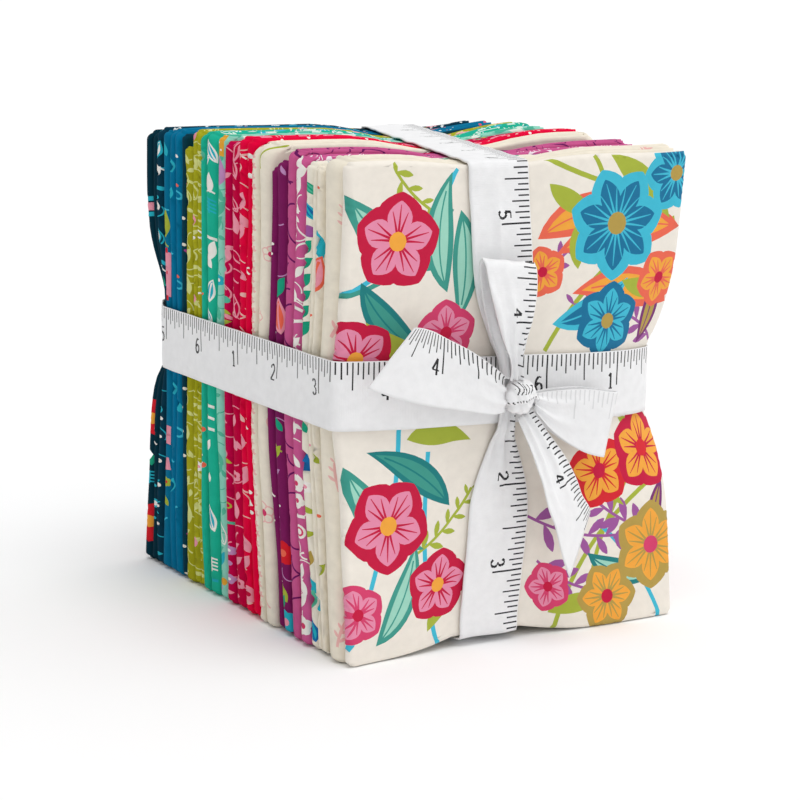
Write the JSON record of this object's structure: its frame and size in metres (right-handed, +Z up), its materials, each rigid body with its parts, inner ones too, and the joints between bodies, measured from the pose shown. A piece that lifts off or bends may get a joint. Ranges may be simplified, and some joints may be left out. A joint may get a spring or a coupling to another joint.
{
  "type": "fat quarter bundle",
  "caption": "Bundle of folded printed cotton quarters standing on edge, tied both ways with a flat measured ribbon and a bow on the front.",
  "frame": {"origin": "middle of the bundle's base, on the surface it stands on", "axes": "+Z up; the printed front quarter and the bow face -Y; the rounded folds that show in the picture face -X"},
  "size_m": [0.1162, 0.1444, 0.1429],
  "materials": {
    "cotton_print_front": "matte",
    "cotton_cream_broad": "matte",
    "cotton_cream_bits": "matte",
    "cotton_leaf_stripe": "matte",
    "cotton_pink_leaf": "matte",
    "cotton_magenta_loop": "matte",
    "cotton_purple_petal": "matte",
    "cotton_purple_plain": "matte",
    "cotton_cream_sprig": "matte",
    "cotton_red_dot": "matte",
    "cotton_red_leaf": "matte",
    "cotton_crimson_leaf": "matte",
    "cotton_crimson_bits": "matte",
    "cotton_aqua_pale": "matte",
    "cotton_aqua_leaf": "matte",
    "cotton_lime_leaf": "matte",
    "cotton_lime_plain": "matte",
    "cotton_navy_bits": "matte",
    "cotton_teal_ring": "matte",
    "cotton_teal_plain": "matte",
    "cotton_navy_leaf": "matte",
    "cotton_navy_back": "matte",
    "ribbon_weave": "satin"
  },
  "bodies": {
    "root": {"print_front": "cotton_print_front", "cream_broad": "cotton_cream_broad", "cream_bits": "cotton_cream_bits", "leaf_stripe": "cotton_leaf_stripe", "pink_leaf": "cotton_pink_leaf", "magenta_loop": "cotton_magenta_loop", "purple_petal": "cotton_purple_petal", "purple_plain": "cotton_purple_plain", "cream_sprig": "cotton_cream_sprig", "red_dot": "cotton_red_dot", "red_leaf": "cotton_red_leaf", "crimson_leaf": "cotton_crimson_leaf", "crimson_bits": "cotton_crimson_bits", "aqua_pale": "cotton_aqua_pale", "aqua_leaf": "cotton_aqua_leaf", "lime_leaf": "cotton_lime_leaf", "lime_plain": "cotton_lime_plain", "navy_bits": "cotton_navy_bits", "teal_ring": "cotton_teal_ring", "teal_plain": "cotton_teal_plain", "navy_leaf": "cotton_navy_leaf", "navy_back": "cotton_navy_back", "ribbon_level": "ribbon_weave", "ribbon_upright": "ribbon_weave", "knot": "ribbon_weave", "loop_up": "ribbon_weave", "loop_right": "ribbon_weave", "tail_left": "ribbon_weave", "tail_low": "ribbon_weave"}
  },
  "joints": []
}
